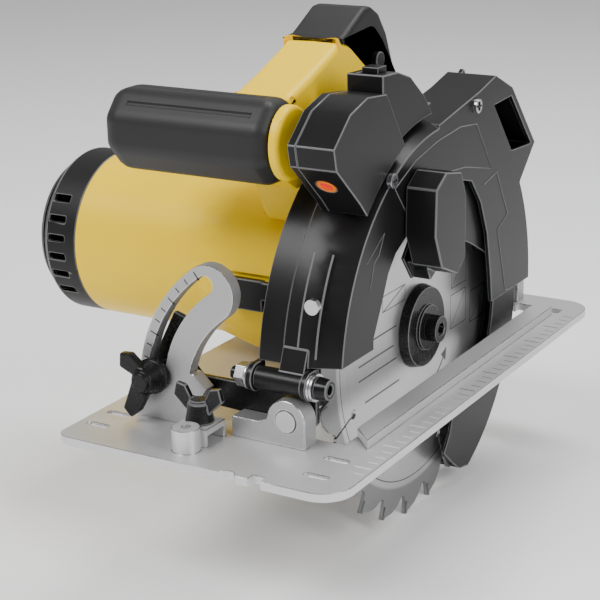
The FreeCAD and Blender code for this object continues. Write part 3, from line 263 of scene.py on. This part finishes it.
def blade_metal():
    """Ground steel: fine rings round the arbor, a darker rim, etched rings, panels and a turn arrow."""
    finish = Finish("ground_blade", Metallic=0.85)
    x, y, z = finish.axes()
    across, up = y - ARBOR.y, z - ARBOR.z
    square = across * across + up * up
    radius = square.math("SQRT", square)
    angle = up.math("ARCTAN2", up, across)
    rings = finish.noise(1.0, 6, finish.vector(radius * 2600, angle * 2.5, 0.0), 0.65)
    sweep = finish.noise(1.0, 3, finish.vector(radius * 18, angle * 1.6, 3.0))
    base = finish.mix(rgb(0.34, 0.34, 0.345), rgb(0.66, 0.66, 0.665), rings * 0.75 + sweep * 0.35)
    rim = radius.ramp(BLADE_RADIUS - 15 * MM, BLADE_RADIUS - 13.5 * MM)
    base = finish.mix(base, rgb(0.17, 0.17, 0.175), rim * 0.75)
    etched = radius.near(BLADE_RADIUS - 17.5 * MM, 0.3 * MM)
    bow = 38 * MM
    etched = etched + radius.near(bow, 0.6 * MM) * angle.between(math.radians(-118), math.radians(-40))
    tip = (math.radians(-33) - angle) * 0.022
    etched = etched + (abs(radius - bow) < tip) * angle.between(math.radians(-42), math.radians(-33))
    panels = ((44, 61, 34, 51), (43, 61, 13, 31), (66, 84, 10, 27), (-29, -6, 43, 51))
    for low_y, high_y, low_z, high_z in panels:
        outer = y.between(low_y * MM, high_y * MM) * z.between(low_z * MM, high_z * MM)
        inner = y.between((low_y + 0.5) * MM, (high_y - 0.5) * MM) * z.between(
            (low_z + 0.5) * MM, (high_z - 0.5) * MM)
        slope = (high_z - low_z) / (high_y - low_y)
        stroke = abs(z - low_z * MM - (y - low_y * MM) * slope) < 0.35 * MM
        etched = etched + (outer - inner) + inner * stroke
    for height, left, right in ((33, -48, -15), (24, -52, -18), (17, -52, -15), (5, -46, -12)):
        etched = etched + z.near(height * MM, 0.45 * MM) * y.between(left * MM, right * MM)
    etched = etched.math("MINIMUM", etched, 1.0)
    finish.colour(finish.mix(base, rgb(0.04, 0.04, 0.042), etched * 0.8))
    finish.rough(0.24 + rings * 0.16 + etched * 0.3 + rim * 0.06)
    finish.bump(rings - etched * 0.5, 0.10)
    return finish.material


def red_lens():
    # The emission is a painted glow: the lens shines although the laser casts no light in the scene.
    finish = Finish("red_lens", Emission_Strength=0.5, IOR=1.5)
    grain = finish.noise(400, 2)
    finish.colour(finish.mix(rgb(0.55, 0.01, 0.008), rgb(0.8, 0.03, 0.02), grain))
    painted_glow = finish.mix(rgb(0.7, 0.01, 0.0), rgb(1.0, 0.08, 0.03), grain)
    finish.feed(finish.shader.inputs["Emission Color"], painted_glow)
    finish.rough(0.08 + grain * 0.08)
    return finish.material


def orange_moulding():
    finish = Finish("orange_moulding", IOR=1.5)
    grain = finish.noise(1500, 2)
    finish.colour(finish.mix(rgb(0.85, 0.16, 0.0), rgb(0.95, 0.26, 0.01), grain))
    finish.rough(0.25 + grain * 0.15)
    finish.bump(grain, 0.15)
    return finish.material


FINISHES = {
    "plate_aluminium": plate_metal(),
    "black_steel": black_moulding("black_oxide_steel", 0.006, 0.18, 700, 0.12),
    "zinc_steel": bright_metal("zinc_plate", (0.62, 0.62, 0.64), 0.20),
    "blade_steel": blade_metal(),
    "carbide": cast_metal("sintered_carbide", 0.16, 0.30, 0.30, 0.9),
    "black_plastic": black_moulding(),
    "gear_case_aluminium": black_moulding("painted_casting", 0.008, 0.34, 900, 0.35),
    "yellow_plastic": yellow_moulding(),
    "black_rubber": soft_black(),
    "laser_barrel_brass": bright_metal("turned_brass", (0.66, 0.48, 0.20), 0.25),
    "orange_plastic": orange_moulding(),
    "red_glass": red_lens(),
    "iron_core": bright_metal("laminated_iron", (0.28, 0.28, 0.30), 0.42),
    "copper": bright_metal("turned_copper", (0.70, 0.34, 0.18), 0.28),
    "carbon": black_moulding("pressed_carbon", 0.03, 0.55, 1200, 0.3),
}
CAST = cast_metal("light_casting", 0.34, 0.50, 0.40)
BRUSHED_PIN = bright_metal("turned_pin", (0.60, 0.60, 0.61), 0.24, "y")
GLOSS_BLACK = black_moulding("gloss_black_moulding", 0.004, 0.12, 1400, 0.06)
DULL_BLACK = black_moulding("dull_black_moulding", 0.008, 0.36, 1100, 0.3)
SPECIAL = {"front_lug": CAST, "rear_lug": CAST, "bevel_quadrant": CAST, "tilt_pins": BRUSHED_PIN,
           "motor_cap": DULL_BLACK, "depth_pivot_bolt": GLOSS_BLACK}

# Painted highlight: this lighter black goes on the rounded edges of black parts, and on beads and slide
# ridges, to stand for lit edges.
BLACK_HIGHLIGHT_RIM = black_moulding("polished_black_rim", 0.10, 0.20, 1600, 0.05)
RIMS = {"black_plastic": BLACK_HIGHLIGHT_RIM, "black_steel": BLACK_HIGHLIGHT_RIM, "plate_aluminium": FINISHES["zinc_steel"]}

for node, shown in frame["nodes"].items():
    slots = shown.data.materials
    named = slots[0].name.split(".")[0]
    slots[0] = SPECIAL.get(node) or FINISHES[named]
    shown["slot_name"] = named


# ------------------------------------------------------------ mesh work
def nothing_selected():
    if bpy.context.object and bpy.context.object.mode != "OBJECT":
        bpy.ops.object.mode_set(mode="OBJECT")
    bpy.ops.object.select_all(action="DESELECT")


def work_on(piece):
    nothing_selected()
    piece.select_set(True)
    bpy.context.view_layer.objects.active = piece


def applied(piece, kind, **settings):
    work_on(piece)
    modifier = piece.modifiers.new(kind.lower(), kind)
    for name, value in settings.items():
        setattr(modifier, name, value)
    bpy.ops.object.modifier_apply(modifier=modifier.name)


def pick_faces(piece, wanted):
    """Leaves the piece in edit mode with only the wanted faces selected."""
    work_on(piece)
    bpy.ops.object.mode_set(mode="EDIT")
    bpy.ops.mesh.select_mode(type="FACE")
    bpy.ops.mesh.select_all(action="DESELECT")
    bpy.ops.object.mode_set(mode="OBJECT")
    for face in piece.data.polygons:
        face.select = bool(wanted(face))
    bpy.ops.object.mode_set(mode="EDIT")


def pick_edges(piece, wanted):
    """Leaves the piece in edit mode with only the wanted edges selected."""
    work_on(piece)
    bpy.ops.object.mode_set(mode="EDIT")
    bpy.ops.mesh.select_mode(type="EDGE")
    bpy.ops.mesh.select_all(action="DESELECT")
    bpy.ops.object.mode_set(mode="OBJECT")
    points = piece.data.vertices
    for edge in piece.data.edges:
        a, b = (points[i].co for i in edge.vertices)
        edge.select = bool(wanted(a, b))
    bpy.ops.object.mode_set(mode="EDIT")


def finished(piece, body, material, smooth=35, replaces=()):
    work_on(piece)
    bpy.ops.object.transform_apply(location=True, rotation=True, scale=True)
    bpy.ops.object.shade_smooth_by_angle(angle=math.radians(smooth))
    applied(piece, "WEIGHTED_NORMAL", mode="FACE_AREA", weight=90, keep_sharp=True)
    if material:
        piece.data.materials.clear()
        piece.data.materials.append(material)
    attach(piece, body)
    if replaces:
        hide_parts(*replaces)
    return piece


def eased(node, width, segments=2, limit=32, sparing=None, smooth=32):
    """A copy of a CAD node with its doubles merged and its sharp edges rounded."""
    source = frame["nodes"][node]
    piece = source.copy()
    piece.data = source.data.copy()
    piece.name = node + "_eased"
    piece.parent = None
    bpy.context.scene.collection.objects.link(piece)
    work_on(piece)
    bpy.ops.object.mode_set(mode="EDIT")
    bpy.ops.mesh.select_all(action="SELECT")
    bpy.ops.mesh.remove_doubles(threshold=0.002 * MM)
    bpy.ops.mesh.dissolve_limited(angle_limit=math.radians(0.8))
    bpy.ops.object.mode_set(mode="OBJECT")
    mesh = piece.data
    sides = {}
    for face in mesh.polygons:
        for key in face.edge_keys:
            sides.setdefault(key, []).append(face.normal)
    weights = mesh.attributes.new("bevel_weight_edge", "FLOAT", "EDGE")
    for index, edge in enumerate(mesh.edges):
        pair = sides.get(edge.key, [])
        sharp = len(pair) == 2 and pair[0].angle(pair[1], 0.0) > math.radians(limit)
        middle = (mesh.vertices[edge.vertices[0]].co + mesh.vertices[edge.vertices[1]].co) / 2
        if sharp and not (sparing and sparing(middle)):
            weights.data[index].value = 1.0
    slot = source["slot_name"]
    # Narrow rounded edges take the rim finish: painted highlight on black parts, the zinc finish on the
    # plate.
    rim = slot in RIMS and width < 0.9
    if rim:
        mesh.materials.append(RIMS[slot])
    applied(piece, "BEVEL", width=width * MM, segments=segments, limit_method="WEIGHT",
            use_clamp_overlap=False, miter_outer="MITER_ARC", material=1 if rim else -1)
    return finished(piece, BODY_OF[node], None, smooth, (node,))


def block(name, low, high):
    """A box between two corners, in millimetres."""
    nothing_selected()
    centre = [(a + b) / 2 * MM for a, b in zip(low, high)]
    bpy.ops.mesh.primitive_cube_add(size=1, location=centre)
    piece = bpy.context.object
    piece.name = name
    piece.scale = [(b - a) * MM for a, b in zip(low, high)]
    bpy.ops.object.transform_apply(location=True, rotation=True, scale=True)
    return piece


def disc(name, centre, radius, depth, axis="x", sides=48):
    """A round bar whose middle is at centre, in millimetres."""
    nothing_selected()
    turn = {"x": (0, math.pi / 2, 0), "y": (math.pi / 2, 0, 0), "z": (0, 0, 0)}[axis]
    bpy.ops.mesh.primitive_cylinder_add(vertices=sides, radius=radius * MM, depth=depth * MM,
                                        location=[c * MM for c in centre], rotation=turn)
    piece = bpy.context.object
    piece.name = name
    bpy.ops.object.transform_apply(location=True, rotation=True, scale=True)
    return piece


def joined(name, pieces):
    work_on(pieces[0])
    for piece in pieces:
        piece.select_set(True)
    bpy.ops.object.join()
    pieces[0].name = name
    return pieces[0]


def rounded(piece, width, segments=3):
    applied(piece, "BEVEL", width=width * MM, segments=segments, limit_method="ANGLE",
            angle_limit=math.radians(30))
    return piece


# ------------------------------------------------------------ pieces
def front_grip():
    """Eight-sided rubber sleeve with soft corners and a shallow panel on each upward-facing side."""
    middle = (grip_low + grip_high) / 2 / MM
    size = (grip_high - grip_low) / MM
    sleeve = disc("front_grip_rubber", middle, 1, size.x, "x", 8)
    work_on(sleeve)
    bpy.ops.object.mode_set(mode="EDIT")
    bpy.ops.mesh.select_all(action="SELECT")
    centre = middle * MM
    half_side = math.radians(22.5)
    bpy.ops.transform.rotate(value=half_side, orient_axis="X", center_override=centre)
    reach = 2 * math.cos(half_side)
    bpy.ops.transform.resize(value=(1, size.y / reach, size.z / reach), center_override=centre)
    bpy.ops.object.mode_set(mode="OBJECT")
    ends = (grip_low.x, grip_high.x)
    pick_edges(sleeve, lambda a, b: abs(a.x - b.x) > 10 * MM)
    bpy.ops.mesh.bevel(offset=3.6 * MM, segments=4, profile=0.6)
    for end, soft in zip(ends, (11.0, 7.0)):
        pick_edges(sleeve, lambda a, b: abs(a.x - end) < 1e-6 and abs(b.x - end) < 1e-6)
        bpy.ops.mesh.bevel(offset=soft * MM, segments=6, profile=0.5)
    pick_faces(sleeve, lambda f: abs(f.normal.x) < 0.05 and f.normal.z > 0.5 and f.area > 300 * MM * MM)
    bpy.ops.mesh.inset(thickness=2.4 * MM, depth=0, use_individual=True)
    bpy.ops.mesh.inset(thickness=0.7 * MM, depth=-0.7 * MM, use_individual=True)
    bpy.ops.object.mode_set(mode="OBJECT")
    return finished(sleeve, "head", FINISHES["black_rubber"], 40, ("front_handle_grip",))


def grip_cap():
    """Oval end cap of the front handle, over the core's end."""
    low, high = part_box("front_handle_core")
    middle = (grip_low + grip_high) / 2 / MM
    size = (grip_high - grip_low) / MM
    cap = disc("front_grip_cap", (high.x / MM - 1.7, middle.y, middle.z), 1, 4.6, "x", 40)
    work_on(cap)
    bpy.ops.object.mode_set(mode="EDIT")
    bpy.ops.mesh.select_all(action="SELECT")
    share = 0.445
    bpy.ops.transform.resize(value=(1, size.y * share, size.z * share), center_override=middle * MM)
    bpy.ops.object.mode_set(mode="OBJECT")
    end = max(point.co.x for point in cap.data.vertices)
    pick_edges(cap, lambda a, b: end - a.x < 1e-6 and end - b.x < 1e-6)
    bpy.ops.mesh.bevel(offset=2.2 * MM, segments=5, affect="EDGES")
    bpy.ops.mesh.select_all(action="SELECT")
    bpy.ops.mesh.normals_make_consistent(inside=False)
    bpy.ops.object.mode_set(mode="OBJECT")
    return finished(cap, "head", FINISHES["yellow_plastic"], 50)


def knob_ribs():
    """Upright ribs on the upper half of the lever's knob, for the fingertip."""
    ribs = []
    face = knob_high.x / MM
    for i in range(8):
        y = knob_low.y / MM + 5.5 + i * 3.1
        rib = block("knob_rib_%d" % i, (face - 1.2, y - 0.8, 82), (face - 0.02, y + 0.8, 104))
        ribs.append(rib)
    joined_ribs = rounded(joined("knob_ribs", ribs), 0.8, 3)
    return finished(joined_ribs, "swing_guard", FINISHES["black_plastic"])


def bead(name, points, radius, body="head"):
    """A thin raised line through points given in millimetres."""
    nothing_selected()
    line = bpy.data.curves.new(name, "CURVE")
    line.dimensions = "3D"
    line.bevel_depth = radius * MM
    line.bevel_resolution = 2
    line.use_fill_caps = True
    run = line.splines.new("POLY")
    run.points.add(len(points) - 1)
    for spot, point in zip(run.points, points):
        spot.co = (*[c * MM for c in point], 1)
    piece = bpy.data.objects.new(name, line)
    bpy.context.scene.collection.objects.link(piece)
    work_on(piece)
    bpy.ops.object.convert(target="MESH")
    piece = bpy.context.object
    # The bead takes the painted-highlight rim finish, a lighter black standing for lit edges.
    return finished(piece, body, BLACK_HIGHLIGHT_RIM, 60)


def guard_arc(x, radius, start, end, steps=24):
    """Points round the arbor at one x, from one angle to another."""
    angles = [math.radians(start + (end - start) * i / steps) for i in range(steps + 1)]
    return [(x, ARBOR.y / MM + radius * math.cos(a), ARBOR.z / MM + radius * math.sin(a)) for a in angles]


def guard_lines():
    """Raised lines on the guard: its outer face's rim and panel, the front wall's ribs, two top ribs."""
    face = GUARD_FACE
    panel = [(-42, 106), (-31, 92.5), (-14, 99), (8, 102.5), (30, 100.5), (60, 93.5), (41.9, 119), (24, 121),
             (0, 119), (-22, 114.5), (-42, 106)]
    bead("panel_line", [(face, y, z) for y, z in panel], 0.3)
    step = [(50.7, 87.2), (66.2, 90.4), (80.4, 65.8), (68.5, 60.3), (79.5, 25.5), (90, 24.4)]
    bead("column_line", [(face, y, z) for y, z in step], 0.35)
    pointer = [(-68.3, 78.6), (-52, 88.5), (-57, 80), (-61.5, 77.5), (-65.5, 66)]
    bead("pointer_line", [(face, y, z) for y, z in pointer], 0.25)
    bead("rim_line", guard_arc(face - 0.4, 96.5, 122, 171), 0.35)
    for i, x in enumerate((27.5, 36.5)):
        bead("front_rib_%d" % i, guard_arc(x, 103.9, 146, 171), 0.5)
    for i, x in enumerate((20, 29)):
        bead("top_rib_%d" % i, guard_arc(x, 104.4, 73, 112), 1.7)


def screw_crosses():
    """A dark cross on each guard screw that faces out, as a thin inlay: painted shade standing for the shaded
    cross recess.
    """
    inlays = []
    for i, (y, z) in enumerate(((-47, 111), (40, 128))):
        face = SCREW_FACE / MM
        for name, reach_y, reach_z, proud in (("flat", 2.1, 0.4, 0.02), ("tall", 0.4, 2.1, 0.03)):
            low = (face - 0.4, y - reach_y, z - reach_z)
            high = (face + proud, y + reach_y, z + reach_z)
            inlays.append(block("cross_%s_%d" % (name, i), low, high))
    return finished(joined("screw_crosses", inlays), "head", FINISHES["black_steel"])


def slide_ridges():
    """Cross ridges on top of the laser's switch slide, for the fingertip."""
    low, high = (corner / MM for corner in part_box("laser_switch_slide"))
    ridges = []
    for i in range(3):
        y = low.y + 1.6 + i * 2.3
        ridges.append(block("slide_ridge_%d" % i, (low.x + 0.8, y, high.z - 0.9),
                            (high.x - 0.8, y + 0.9, high.z - 0.05)))
    ridged = rounded(joined("slide_ridges", ridges), 0.25, 2)
    # The ridges take the painted-highlight rim finish.
    return finished(ridged, "laser_switch", BLACK_HIGHLIGHT_RIM)


def cap_ribs():
    """Two thin raised rings on the motor cap's end, between the vents."""
    low, high = (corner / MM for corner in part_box("motor_cap"))
    y, z = (low.y + high.y) / 2, (low.z + high.z) / 2
    rings = []
    for i, radius in enumerate((30, 20)):
        nothing_selected()
        bpy.ops.mesh.primitive_torus_add(major_radius=radius * MM, minor_radius=0.7 * MM, major_segments=64,
                                         minor_segments=10, rotation=(0, math.pi / 2, 0),
                                         location=((low.x + 0.72) * MM, y * MM, z * MM))
        rings.append(bpy.context.object)
        bpy.ops.object.transform_apply(location=True, rotation=True, scale=True)
    return finished(joined("cap_rings", rings), "head", DULL_BLACK, 60)


def quadrant_marks():
    """Raised degree lines round the bevel quadrant's slot."""
    y = QUADRANT_FRONT / MM
    zero = 171.5
    rim = 75.5
    marks = []
    for degrees in range(0, 50, 5):
        angle = math.radians(zero - degrees)
        length = 4.5 if degrees % 15 == 0 else 2.8
        bar = block("degree_line_%d" % degrees, (rim - length, y - 0.02, -0.3), (rim, y + 0.3, 0.3))
        turn = Matrix.Rotation(-angle, 4, "Y")
        bar.data.transform(Matrix.Translation(TILT_AXIS) @ turn)
        marks.append(bar)
    return finished(joined("degree_lines", marks), "base", FINISHES["black_plastic"])


EASED = {
    "base_plate": 0.35, "front_lug": 0.7, "rear_lug": 0.7, "tilt_pins": 0.3, "bevel_quadrant": 0.4,
    "fence_wing_screw": 0.5, "front_tilt_bracket": 0.5, "depth_arc": 0.4, "depth_pivot_bolt": 0.6,
    "depth_pivot_washers": 0.2, "depth_pivot_nut": 0.25, "bevel_wing_bolt": 0.9, "upper_guard": 0.45,
    "laser_housing_inner": 0.5, "laser_housing_outer": 0.5, "laser_lens_ring": 0.3,
    "laser_switch_case": 0.6, "gear_case": 0.3, "motor_housing": 0.6, "motor_cap": 0.6,
    "front_handle_core": 0.8, "depth_lock_bolt": 0.2, "laser_switch_slide": 0.3, "outer_flange": 0.35,
    "blade_bolt": 0.25, "lower_guard": 0.4, "lower_guard_lever": 0.7, "trigger": 0.8,
    "lock_off_button": 0.5, "spindle_lock_button": 0.6, "depth_lock_lever": 0.7, "cable_gland": 0.4,
    "soft_grip": 2.6, "guard_screws": 0.15, "handle_screws": 0.15,
}
for node, width in EASED.items():
    eased(node, width, 5 if width > 2 else 3 if width >= 0.6 else 2)
HANDLE_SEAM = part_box("handle_left_shell")[1].x
button_low, button_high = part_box("lock_off_button")
BUTTON = (button_low + button_high) / 2
for node in ("handle_left_shell", "handle_right_shell"):
    eased(node, 3.2, 5, sparing=lambda p: abs(p.x - HANDLE_SEAM) < 1.2 * MM
          or math.hypot(p.y - BUTTON.y, p.z - BUTTON.z) < 8 * MM)
front_grip()
grip_cap()
knob_ribs()
guard_lines()
screw_crosses()
slide_ridges()
cap_ribs()
quadrant_marks()


# ------------------------------------------------------------ floor, lights and camera
def soft_light(name, place, aim, size, power, tint=(1, 1, 1)):
    lamp = bpy.data.lights.new(name, "AREA")
    lamp.shape = "RECTANGLE"
    lamp.size, lamp.size_y = size
    lamp.energy = power
    lamp.color = tint
    holder = bpy.data.objects.new(name, lamp)
    holder.location = place
    holder.rotation_euler = (Vector(aim) - Vector(place)).to_track_quat("-Z", "Y").to_euler()
    bpy.context.scene.collection.objects.link(holder)


def studio():
    nothing_selected()
    bpy.ops.mesh.primitive_plane_add(size=12, location=(0, 0, blade_low.z - 0.2 * MM))
    floor = bpy.context.object
    floor.name = "studio_floor"
    paper = Finish("studio_paper", Roughness=0.9)
    paper.colour(paper.mix(rgb(0.92, 0.92, 0.92), rgb(0.95, 0.95, 0.95), paper.noise(3, 2)))
    floor.data.materials.append(paper.material)
    world = bpy.data.worlds.new("studio_air")
    world.use_nodes = True
    world.node_tree.nodes["Background"].inputs["Color"].default_value = rgb(1, 1, 1)
    world.node_tree.nodes["Background"].inputs["Strength"].default_value = 0.45
    bpy.context.scene.world = world
    soft_light("key_light", (-0.5, -0.9, 1.1), (0, 0, 0.06), (0.8, 0.5), 17)
    soft_light("right_light", (1.2, -0.3, 0.7), (0, 0, 0.06), (0.35, 0.9), 11)
    soft_light("top_light", (0.1, 0.5, 1.3), (0, 0, 0.05), (1.0, 0.4), 13)


def camera():
    """Placed by azimuth, elevation and roll, looking at the saw's right front corner."""
    azimuth, elevation, roll = (math.radians(a) for a in (31.01, 17.98, -1.15))
    right = Vector((math.cos(azimuth), math.sin(azimuth), 0))
    back = Vector((math.sin(azimuth) * math.cos(elevation), -math.cos(azimuth) * math.cos(elevation),
                   math.sin(elevation)))
    up = back.cross(right)
    turned_right = right * math.cos(roll) + up * math.sin(roll)
    turned_up = up * math.cos(roll) - right * math.sin(roll)
    lens = bpy.data.cameras.new("studio_camera")
    lens.lens = 97.79
    lens.sensor_width = 36
    lens.clip_start, lens.clip_end = 0.01, 50
    holder = bpy.data.objects.new("studio_camera", lens)
    holder.matrix_world = Matrix.Translation((0.3655, -0.65481, 0.27995)) @ Matrix(
        (turned_right, turned_up, back)).transposed().to_4x4()
    bpy.context.scene.collection.objects.link(holder)
    bpy.context.scene.camera = holder


studio()
camera()
